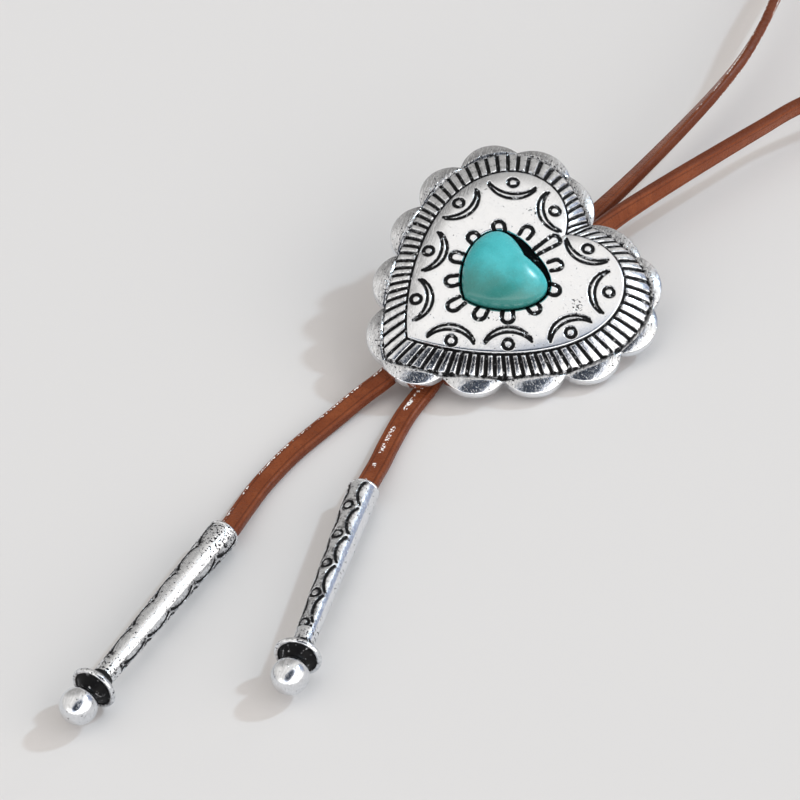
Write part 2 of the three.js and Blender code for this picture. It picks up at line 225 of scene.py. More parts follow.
def antique_silver():
    """Node group for antiqued silver plate. Black stays in recesses, whose depth inside the edge
    is given in millimetres, and in clustered pits; grey is left round them, and laid in streaks
    as far as the streaks-and-shade input asks: streaks where the polishing missed, and painted
    shade on some pieces; the rest is bright, finely worn metal."""
    group = bpy.data.node_groups.new("antique_silver", "ShaderNodeTree")
    for label, default in (("Recess", -1.0), ("Pitting", 0.3), ("Smoke", 0.3), ("Streaks_and_shade", 0.0),
                           ("Wear", 0.3)):
        made = group.interface.new_socket(label, in_out="INPUT", socket_type="NodeSocketFloat")
        made.default_value = default
    for label, kind in (("Colour", "Color"), ("Metallic", "Float"), ("Roughness", "Float"),
                        ("Height", "Float")):
        group.interface.new_socket(label, in_out="OUTPUT", socket_type="NodeSocket" + kind)
    given = group.nodes.new("NodeGroupInput").outputs
    put_out = group.nodes.new("NodeGroupOutput").inputs
    place = in_millimetres(group)

    ragged = calc(group, "SUBTRACT", noise(group, place, 2.8, 3.0, 0.6), 0.5)
    ragged = calc(group, "MULTIPLY", ragged, 0.34)
    edge = calc(group, "ADD", given["Recess"], ragged)
    filled = step(group, edge, -0.05, 0.04)
    rubbed = step(group, noise(group, place, 1.3, 3.0, 0.6), 0.6, 0.68, 1.0, 0.3)
    filled = calc(group, "MULTIPLY", filled, rubbed)
    likely = calc(group, "MULTIPLY", given["Pitting"], 0.1)
    pits = calc(group, "ADD", noise(group, place, 2.6, 2.0, 0.6), likely)
    pits = step(group, pits, 0.735, 0.765)
    black = calc(group, "MAXIMUM", filled, pits)
    halo = step(group, edge, -0.9, 0.0)
    cloud = step(group, noise(group, place, 0.9, 4.0, 0.7), 0.38, 0.64)
    smoke = calc(group, "MULTIPLY", calc(group, "MULTIPLY", halo, cloud), given["Smoke"])
    across = node(group, "Mapping", {"Vector": place, "Rotation": (0.0, 0.0, 2.25),
                                     "Scale": (2.0, 0.3, 0.5)}, vector_type="TEXTURE").outputs[0]
    # Grey streaks by the streaks-and-shade input, which carries painted shade as well as streaks
    # where the polishing missed.
    streaks = step(group, noise(group, across, 1.0, 4.0, 0.7), 0.32, 0.6, 0.3, 1.0)
    smoke = calc(group, "MAXIMUM", smoke, calc(group, "MULTIPLY", streaks, given["Streaks_and_shade"]))
    sheen = noise(group, place, 0.35, 3.0)
    bright = mix(group, sheen, (0.86, 0.885, 0.925, 1), (0.94, 0.955, 0.98, 1))
    dulled = mix(group, smoke, bright, (0.12, 0.12, 0.13, 1))
    group.links.new(mix(group, black, dulled, (0.006, 0.006, 0.007, 1)), put_out["Colour"])
    group.links.new(step(group, black, 0.3, 1.0, 1.0, 0.0), put_out["Metallic"])
    polish = step(group, noise(group, place, 1.1, 3.0, 0.6), 0.3, 0.7, 0.1, 0.22)
    roughness = calc(group, "MAXIMUM", polish, calc(group, "MULTIPLY", black, 0.45))
    group.links.new(roughness, put_out["Roughness"])
    stretched = node(group, "Mapping", {"Vector": place, "Rotation": (0.3, 0.2, 0.7),
                                        "Scale": (0.5, 9.0, 3.0)}).outputs[0]
    hairlines = step(group, noise(group, stretched, 1.0, 2.0, 0.6), 0.62, 0.7, 0.0, 0.02)
    dents = calc(group, "MULTIPLY", noise(group, place, 0.7, 4.0, 0.55), 0.09)
    worn = calc(group, "MULTIPLY", calc(group, "SUBTRACT", dents, hairlines), given["Wear"])
    height = calc(group, "SUBTRACT", worn, calc(group, "MULTIPLY", black, 0.05))
    group.links.new(height, put_out["Height"])
    return group


SILVER = antique_silver()


def silver_plate(name, smoke, wear):
    """Antique silver for one piece, black inside the marks held in its "recess" layer, more
    pitted where its "pitting" layer is high, and greyer where its streaks-and-shade layer is:
    grey streaks, and painted shade on some pieces."""
    material, tree = new_material(name)
    recess = node(tree, "Attribute", attribute_name="recess").outputs["Fac"]
    pitting = node(tree, "Attribute", attribute_name="pitting").outputs["Fac"]
    brushed = node(tree, "Attribute", attribute_name="brushed").outputs["Fac"]
    inputs = {"Recess": recess, "Pitting": pitting, "Smoke": smoke, "Streaks_and_shade": brushed,
              "Wear": wear}
    plate = node(tree, "Group", inputs, node_tree=SILVER).outputs
    bump = node(tree, "Bump", {"Height": plate["Height"], "Distance": MM, "Strength": 1.0})
    shader = node(tree, "BsdfPrincipled", {
        "Base Color": plate["Colour"], "Metallic": plate["Metallic"],
        "Roughness": plate["Roughness"], "Normal": bump.outputs[0], "IOR": 1.2,
    })
    node(tree, "OutputMaterial", {"Surface": shader.outputs[0]})
    return material


def skin(name, rings, material, **layers):
    """A closed piece from a grid of points whose rows are closed rings: each ring joins the next
    by quads, and a fan about its middle closes the first and the last. The faces are turned
    outward by the sign of the volume that they enclose."""
    rows, columns, _ = rings.shape
    points = np.vstack([rings.reshape(-1, 3), rings[[0, -1]].mean(axis=1)]) * MM
    here = np.arange(rows * columns).reshape(rows, columns)
    beside = np.roll(here, -1, axis=1)
    quads = np.stack([here[:-1], beside[:-1], beside[1:], here[1:]], axis=-1).reshape(-1, 4)
    hub = np.full(columns, rows * columns)
    fans = np.vstack([
        np.stack([hub, beside[0], here[0]], axis=-1),
        np.stack([hub + 1, here[-1], beside[-1]], axis=-1),
    ])
    triangles = np.vstack([quads[:, [0, 1, 2]], quads[:, [0, 2, 3]], fans])
    a, b, c = np.moveaxis(points[triangles], 1, 0)
    if np.einsum("ij,ij->", a, np.cross(b, c)) < 0:
        quads, fans = quads[:, ::-1], fans[:, ::-1]
    mesh = bpy.data.meshes.new(name)
    mesh.from_pydata(points.tolist(), [], quads.tolist() + fans.tolist())
    for layer, values in layers.items():
        values = np.broadcast_to(values, (rows, columns))
        values = np.append(values.ravel(), values[[0, -1]].mean(axis=1))
        mesh.attributes.new(layer, "FLOAT", "POINT").data.foreach_set("value", values)
    mesh.shade_smooth()
    mesh.materials.append(material)
    piece = bpy.data.objects.new(name, mesh)
    bpy.context.scene.collection.objects.link(piece)
    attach(piece, "root")
    return piece


def ramp(value, low, high):
    """Smooth step from 0 at low to 1 at high."""
    share = np.clip((value - low) / (high - low), 0, 1)
    return share * share * (3 - 2 * share)


def from_arc(across, up, chord, rise):
    """Distance from a circular arc whose chord lies along the first axis about its middle and
    which rises along the second: from the circle between the arc's ends, else from an end."""
    radius = (chord**2 / 4 + rise**2) / (2 * rise)
    drop = rise - radius
    reach = np.arctan2(chord / 2, -drop)
    angle = np.abs(np.arctan2(across, up - drop))
    on_circle = np.abs(np.hypot(across, up - drop) - radius)
    from_end = np.hypot(np.abs(across) - chord / 2, up)
    return np.where(angle <= reach, on_circle, from_end)


def tip_marks(along, angle):
    """Depth in millimetres inside the stamped strokes of a tip, negative outside them. The tube
    is unrolled, and the same half row is folded about the row of rings and the plain strips."""
    radius = TIP["mouth"] + (TIP["neck"] - TIP["mouth"]) * along / TIP["tube"]
    from_rings = np.abs(np.abs((angle + 180) % 360 - 180) - TIP_ROW["ring"])
    height = np.radians(TIP_ROW["ends"] - from_rings) * radius
    joint = (along - TIP_JOINTS[0]) / TIP_REPEAT
    in_repeat = (joint - np.floor(joint) - 0.5) * TIP_REPEAT
    near = (along > -0.5) & (along < TIP_JOINTS[-1] + 0.6)
    rise = np.radians(TIP_ROW["ends"] - TIP_ROW["bulge"]) * radius
    arc = from_arc(in_repeat, height, TIP_ROW["chord"], rise)
    at_joint = (joint - np.round(joint)) * TIP_REPEAT
    ring = np.abs(np.hypot(at_joint, np.radians(from_rings) * radius) - TIP_ROW["ring_radius"])
    ring = np.where((joint > -0.4) & (joint < 4.4), ring, 9.0)
    depth = TIP_STROKE["wide"] / 2 - np.minimum(arc, ring)
    return np.where(near, depth, -1.0)


def tip_profile():
    """Distance along the axis and radius, from the floor of the bore out over the lip, along
    the tube and its flange, over the collar and round the ball. The last column is how far
    inside a blackened part the point is."""
    t = TIP
    ball_start = np.arcsin(t["waist"] / t["ball"])
    bore = np.linspace(t["bore_depth"], t["lip"], 5)
    lip = np.linspace(0, np.pi / 2, 6)
    lip_middle = (t["mouth"] + t["bore"]) / 2
    lip_half = (t["mouth"] - t["bore"]) / 2
    tube = np.linspace(t["lip"], t["tube"] - 1.2, 230)
    flare = np.linspace(0, 1, 9)
    rim = np.linspace(-np.pi / 2, np.pi / 2, 9)
    collar = np.linspace(0, 1, 8)
    ball = np.linspace(ball_start, np.pi * 0.995, 30)
    start, end = t["tube"] + t["flare"], t["tube"] + t["flare"] + t["rim"]
    slope = (t["mouth"] - t["neck"]) / t["tube"]
    parts = [
        [bore, np.full_like(bore, t["bore"]), np.full_like(bore, 0.3)],
        [t["lip"] * (1 - np.sin(lip)), lip_middle - lip_half * np.cos(lip), -lip],
        [t["lip"] * (1 - np.cos(lip)), lip_middle + lip_half * np.sin(lip), -1 - lip],
        [tube, t["mouth"] - slope * tube, np.full_like(tube, -1.0)],
        [start - 1.2 - 0.9 + 1.9 * flare,
         t["neck"] + 0.03 + (t["flange"] - 0.5 - t["neck"]) * flare**2.4,
         0.5 - np.abs(flare - 0.2) * 2.2],
        [(start + end) / 2 + np.sin(rim) * t["rim"] / 2,
         t["flange"] - 0.4 + 0.4 * np.cos(rim), np.full_like(rim, -0.5)],
        [end - 0.12 + 1.15 * collar**1.5,
         t["collar"] + (t["waist"] - t["collar"]) * collar, np.full_like(collar, 0.4)],
        [t["ball_at"] - t["ball"] * np.cos(ball), t["ball"] * np.sin(ball),
         0.15 - 1.5 * (ball - ball_start)],
    ]
    return np.hstack([np.array(part) for part in parts])


def metal_tip(side):
    """The profile turned about the tip's axis, which leaves the mouth along its heading and
    climbs by the pitch; the stamps are sunk by a smooth step of their depth. Pits crowd at the
    tip's own place and just before its flange."""
    place = TIP_PLACES[side]
    heading = np.radians(place["heading"])
    level = np.cos(TIP_PITCH)
    axis = np.array([np.cos(heading) * level, np.sin(heading) * level, np.sin(TIP_PITCH)])
    up = np.array([0, 0, 1]) - axis * axis[2]
    up /= np.linalg.norm(up)
    beside = np.cross(axis, up)
    along, radius, blackened = tip_profile()[:, :, None]
    angle = np.linspace(0, 360, TIP_COLUMNS, endpoint=False)[None, :]
    marks = tip_marks(along, angle - place["turn"])
    on_tube = (along > TIP["lip"]) & (along < TIP["tube"] - 1) & (blackened < -0.5)
    marks = np.where(on_tube, marks, -1)
    turned = np.radians(angle)
    radius = radius - TIP_STROKE["deep"] * ramp(marks, -0.06, 0.14)
    spoke = np.cos(turned)[..., None] * up + np.sin(turned)[..., None] * beside
    rings = along[..., None] * axis + radius[..., None] * spoke
    rings = rings + FOOT + place["mouth"]
    worst = np.exp(-((along - place["pits"]) / 4) ** 2) + np.exp(-((along - 36) / 3) ** 2)
    on_ball = along > TIP["ball_at"] - TIP["ball"]
    pitting = np.where(on_ball, 0.5, place["pitting"] + 0.9 * worst)
    brushed = 0.12 + 0.13 * on_ball
    piece = skin(f"tip_{side}_silver", rings, TIP_SILVER, recess=np.maximum(marks, blackened),
                 pitting=pitting, brushed=brushed)
    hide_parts(f"tip_{side}")
    return piece


TIP_SILVER = silver_plate("tip_silver", smoke=1.0, wear=0.55)
tips = {side: metal_tip(side) for side in TIP_PLACES}

# ---- The lace ------------------------------------------------------------------------------
# Flat leather lace, coated and rounded at its edges. One length goes up round the neck and back
# down, and leaves the heart's clip in two free ends that are glued into the tips. The rows are
# the middle of the lace and its roll in degrees; at roll 0 it lies flat.

LACE = {"width": 3.7, "thick": 1.8, "round": 0.62, "step": 0.7}
LACE_CREASE = {"from_edge": 0.78, "wide": 0.12, "deep": 0.06}
GLINT_FADE = 20.0  # along the lace, at either end of its stretch of painted glints
LEAN_SIDE, LEAN_NOTCH = np.radians(18.9), np.radians(7.4)  # to one side, and up at the notch
CHANNEL_X = 2.8  # from the clip's middle to the middle of a channel
CHANNEL_PLACES = (0.15, 6.0, 9.0)  # the lace's first points, along its channel from the middle
LACE_IN_CLIP = 2.1  # its middle, over the clip's flat back
TIP_DROP = 0.5  # how far under a tip's axis its lace goes in
GLUED = (-1.0, 7.1)  # the lace's last two points, along the tip from its mouth
NECK_ROUTE = [
    [-3.5, 18.0, 7.0, 0], [-5.9, 27.0, 7.3, -18], [-8.55, 36.0, 7.55, -28],
    [-11.5, 45.0, 7.75, -34], [-14.65, 54.0, 7.95, -40], [-18.1, 63.0, 8.12, -47],
    [-22.2, 72.0, 8.25, -56], [-27.5, 81.0, 8.3, -67], [-34.3, 90.5, 8.1, -77],
    [-46.0, 108.0, 7.0, -85], [-64.0, 137.0, 4.6, -90], [-79.0, 170.0, 2.5, -90],
    [-88.0, 206.0, 1.9, -90], [-87.0, 243.0, 1.9, -90], [-76.0, 277.0, 1.9, -90],
    [-55.0, 303.0, 1.9, -90], [-26.0, 316.0, 1.9, -90], [5.0, 313.0, 1.9, -90],
    [30.0, 296.0, 1.9, -90], [46.0, 269.0, 1.9, -90], [52.0, 237.0, 1.9, -90],
    [49.5, 204.0, 2.2, -90], [40.5, 174.0, 3.1, -92], [27.5, 148.0, 4.6, -95],
    [13.5, 124.0, 6.1, -99], [2.5, 104.0, 7.1, -103], [-3.6, 87.0, 7.5, -106],
    [-5.5, 72.0, 7.68, -106], [-4.95, 63.0, 7.77, -104], [-4.25, 54.0, 7.89, -99],
    [-3.45, 45.0, 8.03, -92], [-2.55, 36.0, 8.12, -84], [-1.35, 27.0, 8.18, -70],
    [0.6, 18.0, 8.0, -42],
]
TAIL_ROUTES = {
    "left": [
        [-0.2, -16.5, 4.7, -10], [1.9, -23.8, 3.2, -5], [2.1, -30.0, 1.9, -2],
        [3.3, -37.5, 1.1, 0], [5.4, -46.3, 0.97, 0], [8.6, -54.5, 1.05, 0],
        [12.2, -60.6, 1.6, 0],
    ],
    "right": [
        [4.8, -14.4, 2.6, -12], [6.9, -19.6, 1.2, -4], [10.1, -26.2, 1.0, 0],
        [14.2, -32.4, 1.05, 0], [17.5, -36.6, 1.5, 0],
    ],
}


def leaned(points):
    """Points of the heart slide, given level about the middle of its clip's back, as it lies:
    leaned to one side about its own length and then raised at its notch."""
    x, y, z = np.moveaxis(np.asarray(points, float), -1, 0)
    x, z = (x * np.cos(LEAN_SIDE) + z * np.sin(LEAN_SIDE),
            z * np.cos(LEAN_SIDE) - x * np.sin(LEAN_SIDE))
    y, z = (y * np.cos(LEAN_NOTCH) - z * np.sin(LEAN_NOTCH),
            y * np.sin(LEAN_NOTCH) + z * np.cos(LEAN_NOTCH))
    return np.stack([x, y, z + SEAT_HEIGHT], axis=-1)


def in_channel(x, way):
    """The straight rows of a lace in one channel of the clip, from its middle out."""
    middle = leaned([[x, way * place, LACE_IN_CLIP] for place in CHANNEL_PLACES])
    return np.hstack([middle, np.full((len(middle), 1), way * np.degrees(LEAN_SIDE))])


def into_tip(side):
    """The rows of a lace that goes into a tip's mouth, a little below its axis."""
    place = TIP_PLACES[side]
    heading = np.radians(place["heading"])
    along = np.array(GLUED)
    level = np.cos(TIP_PITCH) * along
    x = place["mouth"][0] + np.cos(heading) * level
    y = place["mouth"][1] + np.sin(heading) * level
    z = place["mouth"][2] - TIP_DROP + np.sin(TIP_PITCH) * along
    return np.stack([x, y, z, np.zeros(2)], axis=-1)


def smooth_route(rows):
    """A centripetal Catmull-Rom curve through the rows, in even steps: each span is a cubic
    whose end slopes come from its neighbours, spaced by the root of their distance."""
    ghost = [2 * rows[0] - rows[1], 2 * rows[-1] - rows[-2]]
    knots = np.vstack([ghost[0], rows, ghost[1]])
    gap = np.sqrt(np.linalg.norm(np.diff(knots[:, :3], axis=0), axis=1))[:, None]
    before, here, after = gap[:-2], gap[1:-1], gap[2:]
    p0, p1, p2, p3 = knots[:-3], knots[1:-2], knots[2:-1], knots[3:]
    slope = (p2 - p1) / here
    leave = ((p1 - p0) / before - (p2 - p0) / (before + here) + slope) * here
    arrive = (slope - (p3 - p1) / (here + after) + (p3 - p2) / after) * here
    t = np.linspace(0, 1, 40, endpoint=False)[:, None, None]
    square, cube = t**2, t**3
    spans = (p1 + leave * t + (3 * (p2 - p1) - 2 * leave - arrive) * square
             + (2 * (p1 - p2) + leave + arrive) * cube)
    fine = np.vstack([spans.transpose(1, 0, 2).reshape(-1, 4), rows[-1]])
    run = np.append(0, np.cumsum(np.linalg.norm(np.diff(fine[:, :3], axis=0), axis=1)))
    even = np.linspace(0, run[-1], int(run[-1] / LACE["step"]) + 1)
    return even, np.stack([np.interp(even, run, column) for column in fine.T], axis=-1)


def lace_section():
    """Half width and half thickness shares round the lace: a rectangle with round corners, set
    in by a shallow crease near each edge. The last column is how deep in a crease it is."""
    half_w, half_t, r = LACE["width"] / 2, LACE["thick"] / 2, LACE["round"]
    corner = np.linspace(0, np.pi / 2, 7)
    side = np.linspace(half_t - r, 0, 3)[:-1]
    top = np.linspace(half_w - r, 0, 12)[1:]
    quarter = np.vstack([
        np.stack([np.full_like(side, half_w), side[::-1]], axis=-1),
        np.stack([half_w - r + r * np.cos(corner), half_t - r + r * np.sin(corner)], axis=-1)[1:],
        np.stack([top, np.full_like(top, half_t)], axis=-1),
    ])
    from_crease = quarter[:, 0] - half_w + LACE_CREASE["from_edge"]
    crease = np.exp(-((from_crease / LACE_CREASE["wide"]) ** 2)) * (quarter[:, 1] > half_t * 0.9)
    quarter[:, 1] -= LACE_CREASE["deep"] * crease
    quarter = np.hstack([quarter, crease[:, None]])
    upper = np.vstack([quarter, (quarter * (-1, 1, 1))[::-1][1:]])
    return np.vstack([upper, (upper * (-1, -1, 1))[1:-1]])


def leather():
    """Smooth coated leather in chestnut brown: cloudy colour, darker edges, creases darkened as
    painted shade, a fine grain of pores and short cracks across the lace, and glints painted
    into the colour as white flecks."""
    material, tree = new_material("chestnut_leather")

    def layer(name):
        """One of the numbers laid down along the lace."""
        return node(tree, "Attribute", attribute_name=name).outputs["Fac"]

    along, across, crease = layer("along"), layer("across"), layer("crease")
    place = node(tree, "CombineXYZ", {"X": along, "Y": across, "Z": layer("face")}).outputs[0]
    cloud = step(tree, noise(tree, place, 0.25, 4.0, 0.6), 0.35, 0.65)
    colour = mix(tree, cloud, (0.2, 0.05, 0.018, 1), (0.255, 0.069, 0.025, 1))
    fine = step(tree, noise(tree, place, 2.2, 3.0, 0.6), 0.4, 0.7, 0.0, 0.35)
    colour = mix(tree, fine, colour, (0.15, 0.034, 0.012, 1))
    # Darker toward the edges, and darker still in the creases, where the darkening is painted
    # shade.
    edge = step(tree, calc(tree, "ABSOLUTE", across), 1.45, 1.85, 0.0, 0.55)
    dark = calc(tree, "MAXIMUM", edge, calc(tree, "MULTIPLY", crease, 0.7))
    colour = mix(tree, dark, colour, (0.085, 0.021, 0.011, 1))
    pores = node(tree, "TexVoronoi", {"Vector": place, "Scale": 2.6}).outputs["Distance"]
    pores = step(tree, pores, 0.0, 0.45, 0.0, 0.035)
    creep = node(tree, "Mapping", {"Vector": place, "Scale": (2.4, 0.5, 0.5)}).outputs[0]
    cracks = step(tree, noise(tree, creep, 1.0, 3.0, 0.65), 0.56, 0.68, 0.0, 0.06)
    swell = calc(tree, "MULTIPLY", noise(tree, place, 0.45, 2.0), 0.12)
    height = calc(tree, "ADD", calc(tree, "SUBTRACT", pores, cracks), swell)
    # Painted glints: white flecks in the colour, in patches, along the lace's glint line.
    glint_flecks = step(tree, noise(tree, place, 2.5, 2.0, 0.6), 0.51, 0.55)
    patches = step(tree, noise(tree, place, 0.35, 1.0), 0.42, 0.48)
    glint = calc(tree, "MULTIPLY", calc(tree, "MULTIPLY", glint_flecks, patches), layer("glint"))
    glint = step(tree, glint, 0.25, 0.4)
    colour = mix(tree, glint, colour, (1.0, 0.98, 0.97, 1))
    bump = node(tree, "Bump", {"Height": height, "Distance": MM, "Strength": 0.9})
    roughness = step(tree, noise(tree, place, 1.3, 3.0, 0.6), 0.35, 0.65, 0.24, 0.42)
    shader = node(tree, "BsdfPrincipled", {
        "Base Color": colour, "Roughness": roughness, "Normal": bump.outputs[0],
        "Specular IOR Level": 0.12, "Coat Weight": 0.03, "Coat Roughness": 0.15,
    })
    node(tree, "OutputMaterial", {"Surface": shader.outputs[0]})
    return material


def lace(name, rows, worn, stretch):
    """The section carried along the route and turned about it by the roll. A line of painted
    glints runs along it: the third argument gives the line's distance from the lace's middle
    and its width, and stretch where along the lace it starts and ends. Returns the piece and
    the route's points in metres."""
    run, line = smooth_route(np.vstack(rows))
    tangent = np.gradient(line[:, :3], run, axis=0)
    tangent /= np.linalg.norm(tangent, axis=1)[:, None]
    level = np.stack([tangent[:, 1], -tangent[:, 0], np.zeros(len(run))], axis=-1)
    level /= np.linalg.norm(level, axis=1)[:, None]
    roll = np.radians(line[:, 3])[:, None]
    right = level * np.cos(roll) + np.cross(tangent, level) * np.sin(roll)
    upper = np.cross(right, tangent)
    section = lace_section()
    rings = (line[:, None, :3] + section[None, :, :1] * right[:, None]
             + section[None, :, 1:2] * upper[:, None])
    rings = rings + FOOT
    line_worn = np.exp(-(((section[None, :, 0] - worn[0]) / worn[1]) ** 2))
    start, end = stretch
    stretch_worn = ramp(run, start, start + GLINT_FADE) * (1 - ramp(run, end - GLINT_FADE, end))
    piece = skin(name, rings, LEATHER, along=run[:, None], across=section[None, :, 0],
                 face=section[None, :, 1], crease=section[None, :, 2],
                 glint=line_worn * stretch_worn[:, None])
    return piece, (line[:, :3] + FOOT) * MM


LEATHER = leather()
# The neck length carries painted glints near one edge, from 50 to 220 mm along it.
neck, _ = lace("lace_neck", [
    in_channel(-CHANNEL_X, 1), np.array(NECK_ROUTE, float),
    in_channel(CHANNEL_X, 1)[::-1] * (1, 1, 1, -1),
], worn=(1.3, 0.3), stretch=(50, 220))
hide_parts("neck_lace")

# Each tail's line of painted glints: its distance from the lace's middle and its width.
TAILS = {"left": {"channel": -CHANNEL_X, "worn": (1.32, 0.13)},
         "right": {"channel": CHANNEL_X, "worn": (0.35, 0.33)}}
for side, tail in TAILS.items():
    x = tail["channel"]
    rows = [in_channel(x, -1), np.array(TAIL_ROUTES[side], float), into_tip(side)]
    piece, path = lace(f"lace_end_{side}", rows, worn=tail["worn"], stretch=(-20, 200))
    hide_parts(f"tail_{side}")

# ---- The back clip -------------------------------------------------------------------------
# A plain cast block soldered to the heart's back, with two channels through which the lace is
# pulled. It is left as cast but for its softened edges.

CLIP_ROUNDING = 0.18


def back_clip():
    """A copy of the clip's solid with its loose triangles joined and its edges rounded."""
    mesh = frame["nodes"]["slide_clip"].data.copy()
    piece = bpy.data.objects.new("back_clip", mesh)
    bpy.context.scene.collection.objects.link(piece)
    mesh.materials.clear()
    mesh.materials.append(silver_plate("clip_silver", smoke=0.6, wear=1.0))
    recess = mesh.attributes.new("recess", "FLOAT", "POINT")
    recess.data.foreach_set("value", np.full(len(mesh.vertices), -0.3))
    weld = piece.modifiers.new("join", "WELD")
    weld.merge_threshold = 0.00001
    bevel = piece.modifiers.new("softened edges", "BEVEL")
    bevel.width = CLIP_ROUNDING * MM
    bevel.segments = 3
    bevel.limit_method = "ANGLE"
    bevel.angle_limit = np.radians(35)
    return piece


clip = back_clip()
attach(clip, "root")
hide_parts("slide_clip")

# ---- The heart casting ---------------------------------------------------------------------
# One casting in antique silver plate: a smooth raised heart stamped with eyes and loops, a band
# of bars cut across its edge, and fourteen swelling scallops round a hollow back. Black is left
# in every recess when the plate is rubbed bright.

# Each outline is half of a heart, mirrored: two Bezier curves from notch to shoulder to tip.
# The lead and the foot are their handles at the notch and the tip, and the lengths above and
# below are those of the upright ones at the shoulder.
HEARTS = {
    "valleys": {"notch": 21.2, "lead": (8.4, 5.9), "shoulder": (23.0, 8.6), "above": 15.6,
                "below": 11.8, "foot": (9.5, 5.8), "tip": -24.4},
    "band": {"notch": 20.2, "lead": (11.8, 5.8), "shoulder": (22.3, 8.8), "above": 12.6,
             "below": 14.5, "foot": (4.8, 1.3), "tip": -23.5},
    "plateau": {"notch": 15.0, "lead": (6.4, 7.9), "shoulder": (18.05, 7.6), "above": 11.4,
                "below": 11.6, "foot": (5.9, 3.4), "tip": -18.9},
    "pocket": {"notch": 8.45, "lead": (4.1, 0.2), "shoulder": (8.3, 3.2), "above": 4.2,
               "below": 4.4, "foot": (4.0, 1.2), "tip": -7.1},
    "stone": {"notch": 6.15, "lead": (2.9, 1.15), "shoulder": (7.8, 3.15), "above": 4.5,
              "below": 4.6, "foot": (3.2, 0.9), "tip": -6.7},
}
SCALLOP_RISES = np.array([1.9, 2.45, 3.0, 3.1, 3.1, 3.1, 2.9])
# Heights in the casting and the stone are over the clip's flat back, before they are leaned.
RAISED = {"columns": 960, "rows": 84, "edge": 8.4, "pocket": 8.9, "under_lip": 8.3, "floor": 7.6,
          "under": 6.9, "edge_round": 0.2, "lip_round": 0.15, "rubbed_down": (0.14, 0.26)}
EYE_MARKS = [  # ring, then the two ends of its curved stamp
    [(4.70, 16.37), (8.6, 17.4), (1.1, 14.25)],
    [(13.62, 14.00), (10.05, 16.16), (15.85, 10.36)],
    [(15.98, 3.92), (15.9, 8.06), (14.8, 0.16)],
    [(11.42, -6.05), (13.0, -2.24), (8.55, -8.89)],
    [(5.04, -13.45), (7.45, -10.34), (1.7, -15.89)],
]
LOOP_MARKS = [  # middle of the loop's head, the way it points in degrees, length of its legs
    [(0.0, 12.65), 90, 4.0],
    [(4.13, 9.9), 70, 1.2],
    [(7.87, 6.54), 25, 1.0],
    [(8.7, 1.65), 0, 1.2],
    [(7.38, -3.11), -38, 1.6],
    [(4.04, -6.6), -66, 1.4],
    [(0.0, -9.24), -90, 2.0],
]
RING_MARK = {"radius": 0.87, "stroke": 0.66}
LOOP_MARK = {"radius": 1.0, "stroke": 0.75, "pinch": 0.1}  # its legs close in by this share
CURVE_MARK = {"strokes": ((2.36, 0.0), (1.9, 0.5)), "stroke": 0.54}  # rise, and set back
STAMP_DEPTH = 0.22
PITTED = [(12.2, 8.4), (13.0, 7.0), (5.5, -5.5), (-6.6, 13.0), (-15.5, 8.0)]  # small patches


def heart(name, share):
    """Points of a heart's outline at shares of its half length, from the notch to the tip, on
    the side of positive x: the two cubics are laid out finely and read by arc length."""
    h = HEARTS[name]
    t = np.linspace(0, 1, 400)[:, None]
    shoulder = np.array(h["shoulder"])
    halves = [
        [(0, h["notch"]), (h["lead"][0], h["notch"] + h["lead"][1]),
         shoulder + (0, h["above"]), shoulder],
        [shoulder, shoulder - (0, h["below"]), (h["foot"][0], h["tip"] + h["foot"][1]),
         (0, h["tip"])],
    ]
    curve = np.vstack([
        (1 - t) ** 3 * np.array(a) + 3 * (1 - t) ** 2 * t * np.array(b)
        + 3 * (1 - t) * t**2 * np.array(c) + t**3 * np.array(d) for a, b, c, d in halves
    ])
    run = np.append(0, np.cumsum(np.hypot(*np.diff(curve, axis=0).T)))
    reached = np.asarray(share) * run[-1]
    return np.stack([np.interp(reached, run, curve[:, k]) for k in (0, 1)], axis=-1)


def level(outline, height):
    """A flat ring of the outline at a height."""
    return np.hstack([outline, np.full((len(outline), 1), height)])[None]


def mirrored(values):
    """A half laid out from notch to tip in its second axis, closed by its mirror image."""
    left = values[:, :-1] * np.array([-1, 1, 1]) if values.ndim == 3 else values[:, :-1]
    return np.concatenate([left, values[:, :0:-1]], axis=1)


def stamped(x, y):
    """Depth in millimetres inside the strokes stamped on the raised heart, negative outside.
    The right half's stamps are worked out on the distance from the middle line."""
    x = np.abs(x)
    depth = np.full(x.shape, -9.0)
    for ring, start, end in EYE_MARKS:
        start, end, ring = np.array(start), np.array(end), np.array(ring)
        middle, chord = (start + end) / 2, np.hypot(*(end - start))
        run = (end - start) / chord
        side = np.array([run[1], -run[0]])
        side *= np.sign((middle - ring) @ side)
        across = (x - middle[0]) * run[0] + (y - middle[1]) * run[1]
        up = (x - middle[0]) * side[0] + (y - middle[1]) * side[1]
        for rise, back in CURVE_MARK["strokes"]:
            curve = from_arc(across, up + back, chord, rise)
            depth = np.maximum(depth, CURVE_MARK["stroke"] / 2 - curve)
        round_it = np.abs(np.hypot(x - ring[0], y - ring[1]) - RING_MARK["radius"])
        depth = np.maximum(depth, RING_MARK["stroke"] / 2 - round_it)
    for (head_x, head_y), way, leg in LOOP_MARKS:
        way = np.radians(way)
        out = (x - head_x) * np.cos(way) + (y - head_y) * np.sin(way)
        across = np.abs((y - head_y) * np.cos(way) - (x - head_x) * np.sin(way))
        head = np.abs(np.hypot(out, across) - LOOP_MARK["radius"])
        apart = LOOP_MARK["radius"] + LOOP_MARK["pinch"] * np.minimum(out, 0)
        legs = np.hypot(across - apart, np.maximum(-out - leg, 0))
        loop = np.where(out > 0, head, legs)
        depth = np.maximum(depth, LOOP_MARK["stroke"] / 2 - loop)
    return depth


HEART_SILVER = silver_plate("heart_silver", smoke=0.15, wear=0.15)
RIM_SILVER = silver_plate("rim_silver", smoke=0.6, wear=0.65)


